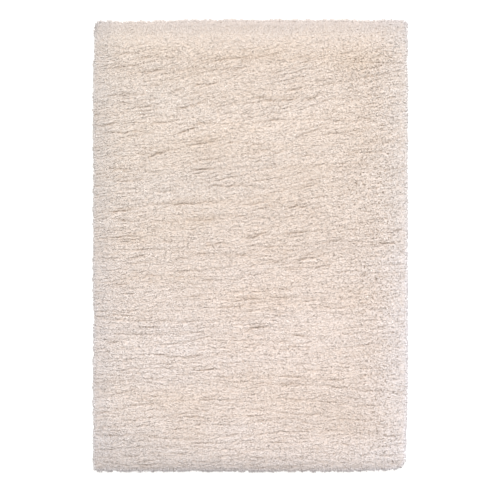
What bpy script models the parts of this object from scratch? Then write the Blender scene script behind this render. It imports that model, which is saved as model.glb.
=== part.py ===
"""Shag rug, 1.6 by 2.3 m, lying flat: one tufted cloth, modelled as one closed solid.

The backing, its turned-under edge and the pile of a machine-made shag rug can't be taken apart,
and only pile shows from outside, so they are one piece here.  The solid reaches as far as the
pile does.  It lies on its flat underside, swells outward where the pile droops over the hem, and
has a soft top with the long shallow troughs where the pile has parted.

Frame: metres, origin in the middle of the underside, +Y along the rug, +Z up out of the pile.
"""

import math
from collections import namedtuple

import bmesh
import bpy
import numpy as np

# ---- driving sizes, in metres ------------------------------------------------------------------
WIDTH = 1.600             # pile tip to pile tip, across
LENGTH = 2.300            # pile tip to pile tip, along
HEIGHT = 0.040            # floor to the highest tips of the pile

PILE_COLOUR = (0.800, 0.710, 0.610, 1.0)
PILE_ROUGHNESS = 0.95

# ---- the top sheet -----------------------------------------------------------------------------
MIDDLE_CELLS_ACROSS = 26
MIDDLE_CELLS_ALONG = 94
BORDER_STATIONS = (0.0, 0.010, 0.025, 0.046)   # short cells next to the border, for the corners
BORDER_DROOP = 0.007      # how far the top sinks at its border
DROOP_REACH = 0.075       # how far in from the border the sinking starts
TROUGH_HALF_WIDTH = 0.019

# ---- the side: rings from the top sheet's border down to the floor -----------------------------
Ring = namedtuple("Ring", "inset height")
TOP_INSET = 0.020
SIDE_RINGS = (
    Ring(inset=0.006, height=0.025),
    Ring(inset=0.000, height=0.012),           # the widest line, where the pile hangs over
    Ring(inset=0.009, height=0.000),           # the underside's border
)

# ---- the outline -------------------------------------------------------------------------------
Corner = namedtuple("Corner", "side end radius")
CORNERS = (
    Corner(side=-1, end=+1, radius=0.045),
    Corner(side=+1, end=+1, radius=0.032),
    Corner(side=-1, end=-1, radius=0.025),
    Corner(side=+1, end=-1, radius=0.078),
)
SHARPEST_RADIUS = 0.008
DRAW_FADE = 5             # odd power by which the draws below fade from the edge to the middle

# Where an edge lies a little inside the straight line: "middle" and "reach" run along that edge.
Draw = namedtuple("Draw", "middle reach depth")
LEFT_DRAWS = (
    Draw(middle=+1.02, reach=0.17, depth=0.005),
    Draw(middle=+0.36, reach=0.20, depth=0.002),
    Draw(middle=-0.42, reach=0.22, depth=0.004),
    Draw(middle=-0.84, reach=0.12, depth=0.002),
)
RIGHT_DRAWS = (
    Draw(middle=+0.90, reach=0.15, depth=0.002),
    Draw(middle=-1.02, reach=0.34, depth=0.008),
)
TOP_DRAWS = (
    Draw(middle=-0.62, reach=0.42, depth=0.008),
    Draw(middle=+0.59, reach=0.10, depth=0.005),
)
BOTTOM_DRAWS = (
    Draw(middle=-0.30, reach=0.20, depth=0.002),
    Draw(middle=+0.68, reach=0.22, depth=0.006),
)

# ---- the slow billows of the top: wavelength, slant of the crests up to the right --------------
Billow = namedtuple("Billow", "length slant start rise")
BILLOWS = (
    Billow(length=0.310, slant=9, start=0.10, rise=0.0011),
    Billow(length=0.173, slant=4, start=0.55, rise=0.0008),
    Billow(length=0.520, slant=62, start=0.30, rise=0.0009),
)

# ---- the main partings of the pile: middle, length, slant up to the right, depth ---------------
Trough = namedtuple("Trough", "x y run slant depth")
TROUGHS = (
    Trough(x=-0.645, y=+0.911, run=0.20, slant=7, depth=0.007),
    Trough(x=-0.486, y=+0.886, run=0.16, slant=14, depth=0.007),
    Trough(x=-0.309, y=+0.804, run=0.34, slant=10, depth=0.010),
    Trough(x=-0.574, y=+0.735, run=0.32, slant=8, depth=0.007),
    Trough(x=-0.288, y=+0.713, run=0.29, slant=11, depth=0.010),
    Trough(x=+0.134, y=+0.738, run=0.24, slant=3, depth=0.007),
    Trough(x=+0.322, y=+0.757, run=0.14, slant=30, depth=0.010),
    Trough(x=+0.580, y=+0.647, run=0.16, slant=-8, depth=0.007),
    Trough(x=-0.287, y=+0.600, run=0.30, slant=13, depth=0.008),
    Trough(x=-0.618, y=+0.575, run=0.28, slant=2, depth=0.006),
    Trough(x=+0.283, y=+0.570, run=0.18, slant=17, depth=0.006),
    Trough(x=-0.464, y=+0.465, run=0.17, slant=18, depth=0.011),
    Trough(x=-0.238, y=+0.480, run=0.30, slant=9, depth=0.008),
    Trough(x=+0.261, y=+0.454, run=0.18, slant=8, depth=0.007),
    Trough(x=-0.623, y=+0.331, run=0.20, slant=8, depth=0.008),
    Trough(x=-0.112, y=+0.306, run=0.28, slant=4, depth=0.007),
    Trough(x=-0.315, y=+0.215, run=0.44, slant=2, depth=0.010),
    Trough(x=+0.250, y=+0.207, run=0.22, slant=12, depth=0.007),
    Trough(x=-0.244, y=+0.133, run=0.28, slant=6, depth=0.007),
    Trough(x=+0.020, y=+0.050, run=0.20, slant=12, depth=0.008),
    Trough(x=-0.326, y=-0.060, run=0.22, slant=8, depth=0.007),
    Trough(x=+0.316, y=-0.060, run=0.24, slant=12, depth=0.008),
    Trough(x=-0.640, y=-0.190, run=0.20, slant=6, depth=0.008),
    Trough(x=-0.040, y=-0.285, run=0.26, slant=4, depth=0.008),
    Trough(x=+0.430, y=-0.290, run=0.26, slant=0, depth=0.006),
    Trough(x=-0.365, y=-0.563, run=0.26, slant=-5, depth=0.008),
    Trough(x=+0.220, y=-0.500, run=0.20, slant=2, depth=0.007),
    Trough(x=-0.630, y=-0.692, run=0.22, slant=1, depth=0.007),
    Trough(x=+0.190, y=-0.707, run=0.18, slant=12, depth=0.007),
    Trough(x=-0.178, y=-0.762, run=0.20, slant=7, depth=0.006),
    Trough(x=-0.420, y=-0.960, run=0.22, slant=15, depth=0.006),
)


def stations(half, middle_cells):
    """Grid lines from -1 to 1: short cells next to both borders and equal ones between."""
    border = np.array(BORDER_STATIONS)
    middle = np.linspace(-half + border[-1], half - border[-1], middle_cells + 1)
    lines = np.concatenate((-half + border[:-1], middle, half - border[-2::-1]))
    return lines / half


def edge_draw(draws, along):
    """How far the edge lies inside the straight line: the sum of raised cosines, one for each row."""
    depth = np.zeros_like(along)
    for row in draws:
        t = np.clip(np.abs(along - row.middle) / row.reach, 0.0, 1.0)
        depth += row.depth * 0.5 * (1.0 + np.cos(math.pi * t))
    return depth


def plan(u, v, inset):
    """Where the grid point (u, v), each -1 to 1, lies when the outline is drawn in by `inset`.

    The rectangle is scaled to the inset size.  In each corner's square the point is carried onto
    the quarter disc: each coordinate is multiplied by the root of one less half the other squared.
    """
    half_x = WIDTH / 2 - inset
    half_y = LENGTH / 2 - inset
    x = u * half_x
    y = v * half_y
    for corner in CORNERS:
        radius = max(corner.radius - inset, SHARPEST_RADIUS)
        across = (x * corner.side - (half_x - radius)) / radius
        along = (y * corner.end - (half_y - radius)) / radius
        inside = (across > 0) & (along > 0)
        disc_x = radius * across * np.sqrt(np.clip(1 - along**2 / 2, 0, 1))
        disc_y = radius * along * np.sqrt(np.clip(1 - across**2 / 2, 0, 1))
        x = np.where(inside, corner.side * (half_x - radius + disc_x), x)
        y = np.where(inside, corner.end * (half_y - radius + disc_y), y)
    side_draw = np.where(u < 0, edge_draw(LEFT_DRAWS, y), edge_draw(RIGHT_DRAWS, y))
    end_draw = np.where(v < 0, edge_draw(BOTTOM_DRAWS, x), edge_draw(TOP_DRAWS, x))
    return x - side_draw * u**DRAW_FADE, y - end_draw * v**DRAW_FADE


def trough_depth(x, y):
    """Depth of the pile's partings: across each, a bell curve; along it, a parabola to its ends.

    Where two meet, the deeper one counts, so crossings don't dig a hole.
    """
    depth = np.zeros_like(x)
    for row in TROUGHS:
        c, s = math.cos(math.radians(row.slant)), math.sin(math.radians(row.slant))
        along = ((x - row.x) * c + (y - row.y) * s) / (row.run / 2)
        across = (-(x - row.x) * s + (y - row.y) * c) / TROUGH_HALF_WIDTH
        depth = np.maximum(depth, row.depth * np.clip(1 - along**2, 0, 1) * np.exp(-(across**2)))
    return depth


def billow(x, y):
    """The slow rise and fall of the pile: the sum of a few long waves, one for each row."""
    rise = np.zeros_like(x)
    for row in BILLOWS:
        turns = (x * math.sin(math.radians(row.slant)) - y * math.cos(math.radians(row.slant)))
        rise += row.rise * np.cos(2 * math.pi * (turns / row.length + row.start))
    return rise


def top_height(x, y):
    """Height of the top: its billows, less the partings, sinking as a parabola at the border."""
    to_border = np.minimum(WIDTH / 2 - np.abs(x), LENGTH / 2 - np.abs(y)) - TOP_INSET
    droop = BORDER_DROOP * np.clip(1 - to_border / DROOP_REACH, 0, 1) ** 2
    return HEIGHT + billow(x, y) - droop - trough_depth(x, y)


def open_border(bm):
    return [edge for edge in bm.edges if edge.is_boundary]


def make_rug_mesh():
    """A grid bent to the top's shape, its border extruded down ring by ring and closed below."""
    u_lines = stations(WIDTH / 2 - TOP_INSET, MIDDLE_CELLS_ACROSS)
    v_lines = stations(LENGTH / 2 - TOP_INSET, MIDDLE_CELLS_ALONG)
    bm = bmesh.new()
    bmesh.ops.create_grid(
        bm, x_segments=len(u_lines) - 1, y_segments=len(v_lines) - 1, size=1.0
    )
    u_layer = bm.verts.layers.float.new("u")
    v_layer = bm.verts.layers.float.new("v")
    for vert in bm.verts:
        vert[u_layer] = u_lines[round((vert.co.x + 1) / 2 * (len(u_lines) - 1))]
        vert[v_layer] = v_lines[round((vert.co.y + 1) / 2 * (len(v_lines) - 1))]

    u = np.array([vert[u_layer] for vert in bm.verts])
    v = np.array([vert[v_layer] for vert in bm.verts])
    x, y = plan(u, v, TOP_INSET)
    z = top_height(x, y)
    z += HEIGHT - z.max()
    for vert, place in zip(bm.verts, zip(x, y, z)):
        vert.co = place

    for ring in SIDE_RINGS:
        made = bmesh.ops.extrude_edge_only(bm, edges=open_border(bm))
        loop = [item for item in made["geom"] if isinstance(item, bmesh.types.BMVert)]
        u = np.array([vert[u_layer] for vert in loop])
        v = np.array([vert[v_layer] for vert in loop])
        x, y = plan(u, v, ring.inset)
        for vert, place_x, place_y in zip(loop, x, y):
            vert.co = (place_x, place_y, ring.height)
    bmesh.ops.contextual_create(bm, geom=open_border(bm))
    bmesh.ops.recalc_face_normals(bm, faces=bm.faces)

    mesh = bpy.data.meshes.new("shag_rug")
    bm.to_mesh(mesh)
    bm.free()
    mesh.shade_smooth()
    return mesh


def make_pile_material():
    material = bpy.data.materials.new("pile")
    material.use_nodes = True
    shader = material.node_tree.nodes["Principled BSDF"]
    shader.inputs["Base Color"].default_value = PILE_COLOUR
    shader.inputs["Roughness"].default_value = PILE_ROUGHNESS
    shader.inputs["Metallic"].default_value = 0.0
    material.diffuse_color = PILE_COLOUR
    return material


def main():
    for obj in list(bpy.data.objects):
        bpy.data.objects.remove(obj, do_unlink=True)
    collection = bpy.data.collections.new("shag rug")
    bpy.context.scene.collection.children.link(collection)
    rug = bpy.data.objects.new("shag_rug", make_rug_mesh())
    rug.data.materials.append(make_pile_material())
    collection.objects.link(rug)


main()
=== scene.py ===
# %% [markdown]
# # A cream shag rug
#
# A shag rug is a plain woven backing with thousands of soft yarn tufts punched through it. Seen
# from above only the tips of the tufts show. They lean on each other, gather into little locks
# and part along long crooked lines, and that is what the eye reads as "shaggy". So the lesson
# builds the real thing: a backing sheet, the dense foot of the pile, and then every tuft as a
# small closed wisp whose tip is moved by a few smooth fields.

# %% Load the fixed frame
import math
from collections import namedtuple

import bpy
import numpy as np
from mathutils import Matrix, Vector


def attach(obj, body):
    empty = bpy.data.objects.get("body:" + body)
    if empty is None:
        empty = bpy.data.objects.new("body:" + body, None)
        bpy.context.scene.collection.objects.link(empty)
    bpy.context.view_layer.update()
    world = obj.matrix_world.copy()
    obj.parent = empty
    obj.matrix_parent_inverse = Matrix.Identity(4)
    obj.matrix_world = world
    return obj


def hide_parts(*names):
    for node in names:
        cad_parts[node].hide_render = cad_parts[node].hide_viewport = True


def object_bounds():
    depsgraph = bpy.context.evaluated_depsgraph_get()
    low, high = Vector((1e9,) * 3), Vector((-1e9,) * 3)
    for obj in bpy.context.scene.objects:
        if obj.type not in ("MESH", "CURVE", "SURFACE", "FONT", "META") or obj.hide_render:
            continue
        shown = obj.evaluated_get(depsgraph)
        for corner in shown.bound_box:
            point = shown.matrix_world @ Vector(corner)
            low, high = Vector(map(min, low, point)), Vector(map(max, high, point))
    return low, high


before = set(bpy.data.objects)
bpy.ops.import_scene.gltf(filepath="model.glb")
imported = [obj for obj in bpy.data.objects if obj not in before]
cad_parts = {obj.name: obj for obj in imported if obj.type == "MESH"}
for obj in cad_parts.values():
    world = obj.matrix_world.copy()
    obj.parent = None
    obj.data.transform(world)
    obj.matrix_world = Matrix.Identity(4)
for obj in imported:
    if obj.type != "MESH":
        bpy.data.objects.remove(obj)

cad_low, cad_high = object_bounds()
HALF_WIDTH = (cad_high.x - cad_low.x) / 2
HALF_LENGTH = (cad_high.y - cad_low.y) / 2
HEIGHT = cad_high.z - cad_low.z
RUG_NODE = "shag_rug"
print(f"frame: {2 * HALF_WIDTH:.3f} by {2 * HALF_LENGTH:.3f} m, {HEIGHT * 1000:.0f} mm high")

# %% [markdown]
# ## The camera
#
# The rug is looked at from straight above through a long lens, so that its sides stay parallel.

# %% Camera straight above
LENS = 180.0                  # millimetres, on a 36 mm sensor
SENSOR = 36.0
VIEW_WIDTH = 2.545            # metres of floor across the picture
VIEW_BELOW_CENTRE = 0.021     # the picture's middle lies this far towards the rug's near end
EYE_PLANE = 0.020             # the height at which the width above holds
NEAREST_SEEN = 0.1            # of the distance to the rug
FURTHEST_SEEN = 20


def make_camera():
    """Distance from the view's width: half the width over half the sensor, times the lens."""
    data = bpy.data.cameras.new("camera_above")
    data.lens = LENS
    data.sensor_width = SENSOR
    distance = VIEW_WIDTH / SENSOR * LENS
    data.clip_start = distance * NEAREST_SEEN
    data.clip_end = distance * FURTHEST_SEEN
    camera = bpy.data.objects.new("camera_above", data)
    camera.location = (0.0, -VIEW_BELOW_CENTRE, EYE_PLANE + distance)
    bpy.context.scene.collection.objects.link(camera)
    bpy.context.scene.camera = camera
    return distance


print(f"camera {make_camera():.2f} m above the rug")

# %% [markdown]
# ## The outline
#
# The rug's edge isn't quite straight and its four corners differ. The frame's solid already has
# that outline at the height where it is widest, so the pile is measured against that ring and
# ends where the solid does.

# %% Read the outline from the frame's solid
def widest_ring(node):
    """The solid's points at the height where it is widest, in order round the middle."""
    co = np.zeros(len(node.data.vertices) * 3)
    node.data.vertices.foreach_get("co", co)
    co = np.unique(np.round(co.reshape(-1, 3), 5), axis=0)
    level = co[np.argmax(co[:, 0]), 2]
    ring = co[np.abs(co[:, 2] - level) < 1e-4]
    turn = np.arctan2(ring[:, 1] / HALF_LENGTH, ring[:, 0] / HALF_WIDTH)
    return ring[np.argsort(turn), :2]


def along_ring(ring, count):
    """The ring again with `count` points spread evenly along it, by linear interpolation."""
    closed = np.vstack((ring, ring[:1]))
    steps = np.hypot(*np.diff(closed, axis=0).T)
    mileage = np.concatenate(([0.0], np.cumsum(steps)))
    at = np.linspace(0.0, mileage[-1], count, endpoint=False)
    return np.stack([np.interp(at, mileage, closed[:, k]) for k in (0, 1)], axis=1)


OUTLINE = widest_ring(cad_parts[RUG_NODE])
SIDES_OF_OUTLINE = np.roll(OUTLINE, -1, axis=0) - OUTLINE
PERIMETER = np.hypot(*SIDES_OF_OUTLINE.T).sum()
print(f"outline: {len(OUTLINE)} points, {PERIMETER:.3f} m round")

# %% Distance from the border, on a lattice
LATTICE = 0.008
LATTICE_START = np.array((-HALF_WIDTH - 0.05, -HALF_LENGTH - 0.05))
LATTICE_SHAPE = np.ceil(-2 * LATTICE_START / LATTICE).astype(int) + 2


def border_lattice():
    """For every lattice point: distance in from the outline (negative outside) and way out.

    The foot of the perpendicular, kept within a side, is the nearest place on it, and the
    nearest of all sides counts. A point is inside when it lies to the left of that side.
    """
    index = np.indices(LATTICE_SHAPE).reshape(2, -1).T
    points = LATTICE_START + index * LATTICE
    best = np.full(len(points), np.inf)
    foot = np.zeros_like(points)
    inside = np.zeros(len(points), bool)
    for start, along in zip(OUTLINE, SIDES_OF_OUTLINE):
        way = points - start
        t = np.clip(way @ along / (along @ along), 0.0, 1.0)
        near = start + t[:, None] * along
        gap = np.hypot(*(points - near).T)
        closer = gap < best
        best = np.where(closer, gap, best)
        foot = np.where(closer[:, None], near, foot)
        inside = np.where(closer, along[0] * way[:, 1] > along[1] * way[:, 0], inside)
    outward = (foot - points) / np.maximum(best, 1e-6)[:, None] * np.where(inside, 1, -1)[:, None]
    table = np.column_stack((np.where(inside, best, -best), outward))
    return table.reshape(*LATTICE_SHAPE, 3)


BORDER = border_lattice()


def border(x, y):
    """Distance in from the outline and the way out, blended from the four lattice points."""
    gx = np.clip((x - LATTICE_START[0]) / LATTICE, 0, LATTICE_SHAPE[0] - 2.001)
    gy = np.clip((y - LATTICE_START[1]) / LATTICE, 0, LATTICE_SHAPE[1] - 2.001)
    ix, iy = gx.astype(int), gy.astype(int)
    tx, ty = (gx - ix)[..., None], (gy - iy)[..., None]
    near = BORDER[ix, iy] * (1 - tx) + BORDER[ix + 1, iy] * tx
    far = BORDER[ix, iy + 1] * (1 - tx) + BORDER[ix + 1, iy + 1] * tx
    blend = near * (1 - ty) + far * ty
    return blend[..., 0], blend[..., 1:]


print(f"deepest point {BORDER[..., 0].max():.3f} m in from the border")

# %% [markdown]
# ## Smooth fields
#
# How the pile has parted, which way it lies and how it swells are smooth random fields over the
# plan. One gradient noise with cells of any width and height does for all of them, because long
# flat cells make long level features.

# %% Gradient noise and easing
NOISE_PERIOD = 512


def noise(x, y, cell_x, cell_y, seed):
    """Smooth random field, about -1 to 1, zero on average.

    Each corner of a grid of cells holds a random direction. In a cell, each corner gives the dot
    product of its direction with the way to the point, and the four are blended with the weight
    6t^5 - 15t^4 + 10t^3 along both sides.
    """
    turn = np.random.default_rng(seed).uniform(0, 2 * math.pi, (NOISE_PERIOD, NOISE_PERIOD))
    gx, gy = x / cell_x, y / cell_y
    ix, iy = np.floor(gx).astype(int), np.floor(gy).astype(int)
    tx, ty = gx - ix, gy - iy
    wx = tx**3 * (tx * (tx * 6 - 15) + 10)
    wy = ty**3 * (ty * (ty * 6 - 15) + 10)

    def corner(right, up):
        angle = turn[(ix + right) % NOISE_PERIOD, (iy + up) % NOISE_PERIOD]
        return np.cos(angle) * (tx - right) + np.sin(angle) * (ty - up)

    low = corner(0, 0) * (1 - wx) + corner(1, 0) * wx
    high = corner(0, 1) * (1 - wx) + corner(1, 1) * wx
    return 1.5 * (low * (1 - wy) + high * wy)


def ease(value, start, end):
    """0 before start, 1 after end and 3t^2 - 2t^3 between them."""
    t = np.clip((value - start) / (end - start), 0.0, 1.0)
    return t * t * (3 - 2 * t)


def waves(x, y, rows):
    """Sum of noises. Each row is an amount, a cell's width and height, and a seed."""
    return sum(amount * noise(x, y, *cell_and_seed) for amount, *cell_and_seed in rows)


sample = noise(*np.meshgrid(np.linspace(0, 9, 99), np.linspace(0, 9, 99)), 1.0, 1.0, 1)
print(f"noise from {sample.min():.2f} to {sample.max():.2f}, average {sample.mean():.2f}")

# %% [markdown]
# ## How the pile has parted
#
# Rolled up for storage, the pile has parted along crooked lines that run across the rug. At the
# far end they climb a little to the right, at the near end they run level, and along the right
# side the pile is curly, with hardly any lines. The biggest partings are listed below, and so are
# the long level troughs that the rolling has left. The rest are lines where a stretched noise
# passes through zero.

# %% The main partings
Parting = namedtuple("Parting", "x y run slant depth")
# x, y and run in metres, slant in degrees up to the right, depth as a share of PARTING_DEPTH
PARTINGS = [Parting(*row) for row in (
    (-0.645, +0.911, 0.20, 7, 0.8),
    (-0.486, +0.886, 0.13, 14, 0.9),
    (-0.390, +0.785, 0.15, 16, 0.9),
    (-0.235, +0.822, 0.14, 8, 1.0),
    (-0.646, +0.765, 0.20, 5, 0.6),
    (-0.574, +0.735, 0.30, 8, 0.6),
    (-0.552, +0.705, 0.20, 7, 0.8),
    (-0.288, +0.713, 0.27, 11, 1.1),
    (-0.330, +0.583, 0.14, 16, 0.9),
    (-0.225, +0.625, 0.14, 9, 0.8),
    (-0.618, +0.575, 0.28, 2, 0.6),
    (-0.464, +0.465, 0.14, 20, 1.3),
    (-0.244, +0.523, 0.26, 9, 0.8),
    (-0.238, +0.437, 0.27, 8, 0.9),
    (-0.673, +0.391, 0.15, -6, 0.7),
    (-0.232, +0.388, 0.16, 3, 0.8),
    (+0.322, +0.757, 0.10, 30, 1.3),
    (+0.134, +0.738, 0.20, 2, 0.9),
    (+0.101, +0.633, 0.19, 8, 0.7),
    (+0.283, +0.570, 0.15, 18, 0.7),
    (+0.261, +0.454, 0.15, 8, 0.8),
    (+0.448, +0.674, 0.15, -2, 0.5),
    (+0.580, +0.647, 0.12, -9, 0.8),
    (-0.623, +0.331, 0.17, 8, 0.9),
    (-0.112, +0.306, 0.27, 3, 0.7),
    (-0.442, +0.276, 0.15, 8, 0.8),
    (-0.315, +0.215, 0.40, 2, 1.0),
    (-0.656, +0.176, 0.13, 8, 1.0),
    (-0.244, +0.133, 0.26, 5, 0.8),
    (+0.020, +0.050, 0.15, 12, 1.0),
    (-0.194, +0.003, 0.14, 10, 0.9),
    (-0.564, -0.055, 0.10, 10, 0.9),
    (-0.326, -0.060, 0.16, 7, 0.8),
    (-0.656, -0.195, 0.13, 5, 0.9),
    (+0.000, -0.273, 0.13, 0, 1.0),
    (-0.095, -0.308, 0.15, 5, 0.8),
    (+0.112, -0.082, 0.26, 12, 0.6),
    (+0.316, -0.060, 0.19, 12, 1.0),
    (+0.371, -0.104, 0.10, 10, 0.8),
    (+0.250, +0.207, 0.17, 11, 0.8),
    (+0.294, +0.303, 0.13, 12, 0.8),
    (+0.107, +0.094, 0.10, 14, 0.8),
    (+0.746, +0.080, 0.09, 18, 1.0),
    (+0.691, +0.012, 0.10, -2, 0.9),
    (+0.498, -0.264, 0.12, 0, 0.7),
    (+0.371, -0.311, 0.14, 0, 0.6),
    (-0.618, -0.580, 0.08, 12, 0.8),
    (-0.425, -0.560, 0.14, -12, 0.8),
    (-0.300, -0.565, 0.14, 10, 0.8),
    (-0.133, -0.544, 0.15, 3, 0.7),
    (-0.695, -0.492, 0.09, 0, 0.8),
    (-0.579, -0.624, 0.13, 5, 0.7),
    (-0.673, -0.692, 0.20, 0, 0.6),
    (-0.563, -0.784, 0.10, 3, 0.7),
    (-0.178, -0.762, 0.14, 7, 0.6),
    (-0.398, -0.943, 0.12, 20, 0.5),
    (+0.008, -0.423, 0.09, 13, 0.8),
    (+0.261, -0.456, 0.10, -3, 0.8),
    (+0.195, -0.519, 0.13, 3, 0.7),
    (+0.190, -0.707, 0.12, 12, 0.8),
)]
print(f"{len(PARTINGS)} main partings")

# %% The long troughs
Trough = namedtuple("Trough", "x y run wide depth")
# all in metres: the middle, the length, the half width and the depth
TROUGHS = [Trough(*row) for row in (
    (+0.10, +0.955, 1.30, 0.016, 0.0009),
    (-0.45, +0.890, 0.75, 0.014, 0.0010),
    (+0.35, +0.850, 0.70, 0.014, 0.0008),
    (-0.15, +0.475, 0.55, 0.013, 0.0009),
    (+0.20, +0.395, 1.05, 0.016, 0.0011),
    (-0.25, +0.225, 1.10, 0.012, 0.0012),
    (-0.10, +0.135, 1.20, 0.018, 0.0008),
    (-0.50, +0.035, 0.60, 0.014, 0.0009),
    (+0.28, -0.030, 0.60, 0.015, 0.0010),
    (-0.60, -0.150, 0.40, 0.013, 0.0007),
    (+0.05, -0.265, 0.90, 0.014, 0.0009),
    (-0.30, -0.440, 0.80, 0.014, 0.0006),
    (+0.10, -0.700, 0.75, 0.013, 0.0009),
    (-0.60, -0.765, 0.50, 0.013, 0.0010),
    (-0.50, -0.955, 0.55, 0.014, 0.0009),
)]
print(f"{len(TROUGHS)} long troughs")

# %% [markdown]
# ## The relief
#
# The height of the pile is one function of the place. The table of folds gives sets of lines,
# from long and far apart to short and close, and the swells are low broad waves. Near the border
# the top rounds off, steeply at the far end and gently at the near one, where it was rolled.

# %% Sizes of the relief
PILE_TOP = 0.0375             # the soft surface that the tufts make together, where it is whole
CLIMB_FAR = 0.23              # slope of the partings at the far end, rise over run
CLIMB_NEAR = 0.03             # and at the near end
PARTING_REACH = 0.0034        # half width of a listed parting
PARTING_DEPTH = 0.0068
FOLD_SHARE = 0.97             # of the folds' depths below
PIT_DEPTH = 0.0056            # of the small hollows between curls

Fold = namedtuple("Fold", "cell_x cell_y depth width climb in_curls seed")
# in_curls is the share of the depth that is left where the pile is curly
FOLDS = [Fold(*row) for row in (
    (0.600, 0.074, 0.0034, 0.0032, 0.3, 0.8, 11),
    (0.270, 0.036, 0.0034, 0.0028, 1.0, 0.7, 12),
    (0.130, 0.018, 0.0030, 0.0020, 1.0, 0.3, 13),
    (0.095, 0.021, 0.0016, 0.0024, 1.0, 1.3, 14),
    (0.036, 0.011, 0.0012, 0.0018, 1.0, 2.4, 15),
)]
# amount, a cell's width and height in metres, and seed
SWELLS = ((0.0011, 0.900, 0.090, 16), (0.0006, 0.400, 0.048, 17), (0.0009, 0.170, 0.027, 19))
WANDER = ((0.016, 0.26, 0.45, 1), (0.005, 0.07, 0.14, 2))
WIGGLE = ((0.008, 0.050, 0.05, 5), (0.0035, 0.016, 0.02, 8))
print(f"{len(FOLDS)} sets of folds and {len(SWELLS)} swells on a pile {PILE_TOP * 1000:.1f} mm high")

# %% How far the pile has sunk
def across_partings(x, y):
    """The plan's y, corrected so that the partings' lines lie level in it.

    The climb falls from the far end to the near one, and two slow noises make the lines wander.
    """
    climb = CLIMB_NEAR + (CLIMB_FAR - CLIMB_NEAR) * ease(y, -0.55, 0.75)
    return y - climb * x + waves(x, y, WANDER)


def curliness(x, y):
    """0 where the pile lies in long partings, 1 along the right side, where it is curly."""
    edge = 0.38 + 0.14 * noise(x, y, 0.9, 0.30, 3)
    return 0.10 + 0.90 * ease(x, edge, edge + 0.28)


def combed(y):
    """1 in the strip along the far end that is combed outward, 0 elsewhere."""
    return 1 - ease(HALF_LENGTH - y, 0.07, 0.20)


def partedness(x, y):
    """How strongly the folds part the pile, in patches; next to none along the far edge."""
    patches = 0.95 + 0.30 * noise(x, y, 0.60, 0.10, 4)
    return np.clip(patches, 0.3, 1.3) * (1 - 0.85 * combed(y))


def in_troughs(x, y):
    """Depth of the long troughs: depth * exp(-(dy / wide)^2), with a bell 1 - t^4 along each."""
    wander = 0.010 * noise(x, y, 0.25, 0.20, 6)
    depth = np.zeros_like(x)
    for row in TROUGHS:
        along = (x - row.x) / (row.run / 2)
        across = (y + wander - row.y) / row.wide
        depth += row.depth * np.clip(1 - along**4, 0, 1) * np.exp(-(across**2))
    return depth


def groove(x, y, fold):
    """1 on the line where a noise n is zero, falling off as exp(-distance / width).

    The distance is |n| over its slope s along y. Where the line turns away from level, s is
    small, and the groove fades: it is scaled by s * cell_y / 1.3, at most 1.
    """
    h = 0.02 * fold.cell_y
    n = noise(x, y, fold.cell_x, fold.cell_y, fold.seed)
    slope = np.abs(noise(x, y + h, fold.cell_x, fold.cell_y, fold.seed) - n) / h
    fade = np.clip(slope * fold.cell_y / 1.3, 0.02, 1.0)
    return fade * np.exp(-np.abs(n) / (np.maximum(slope, 0.02 / fold.cell_y) * fold.width))


def sunk(x, y):
    """How far the pile has sunk at (x, y) along its partings.

    It is the sum of the folds' grooves, times their depths. A listed parting has the same
    shape across and a parabola along it. A noise breaks all of them up into stretches. Small
    pits lie between the curls, where another fine noise is high.
    """
    level = across_partings(x, y)
    strength = partedness(x, y)
    curly = curliness(x, y)
    ragged = np.clip(0.85 + 0.65 * noise(x, level, 0.095, 0.013, 9), 0.1, 1.6)
    wiggle = waves(x, y, WIGGLE)
    depth = np.zeros_like(x)
    for fold in FOLDS:
        share = strength * (1 + (fold.in_curls - 1) * curly)
        line = y + fold.climb * (level - y + 0.6 * wiggle)
        depth += share * fold.depth * groove(x, line, fold)
    main = np.zeros_like(x)
    for row in PARTINGS:
        c, s = math.cos(math.radians(row.slant)), math.sin(math.radians(row.slant))
        near = np.hypot(x - row.x, y - row.y) < row.run / 2 + 0.03
        dx, dy = x[near] - row.x, y[near] - row.y
        along = (dx * c + dy * s) / (row.run / 2)
        across = np.abs(dy * c - dx * s + wiggle[near]) / PARTING_REACH
        fade = row.depth * np.clip(1.1 * (1 - along**2), 0, 1)
        main[near] = np.maximum(main[near], fade * np.exp(-across))
    pits = np.clip(3.4 * noise(x, y, 0.012, 0.008, 18) - 1.3, 0, 1) * (0.5 + 0.5 * curly)
    main *= (0.45 + 0.55 * ragged) * PARTING_DEPTH
    return FOLD_SHARE * ragged * depth + main + PIT_DEPTH * pits + in_troughs(x, y)


at_parting = sunk(np.array([PARTINGS[3].x]), np.array([PARTINGS[3].y]))[0]
print(f"sunk by {at_parting * 1000:.1f} mm on the fourth parting")

# %% The surface, rounded off at the border
SIDE_ROUND = 0.034            # width of the rounding at the left and right
NEAR_ROUND = 0.056            # at the near end, where the rug was rolled
FAR_ROUND = 0.022             # and at the far end
EDGE_LOW = 0.018              # height of the pile's surface on its own edge
EDGE_POWER = 0.7              # under 1 is softer than a quarter of an ellipse
BODY_INSET = 0.007            # the dense body of the pile ends this far inside the outline


def facing(outward):
    """How much the way out points to the far end, and to the near end, each squared."""
    return np.maximum(outward[..., 1], 0) ** 2, np.minimum(outward[..., 1], 0) ** 2


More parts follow.
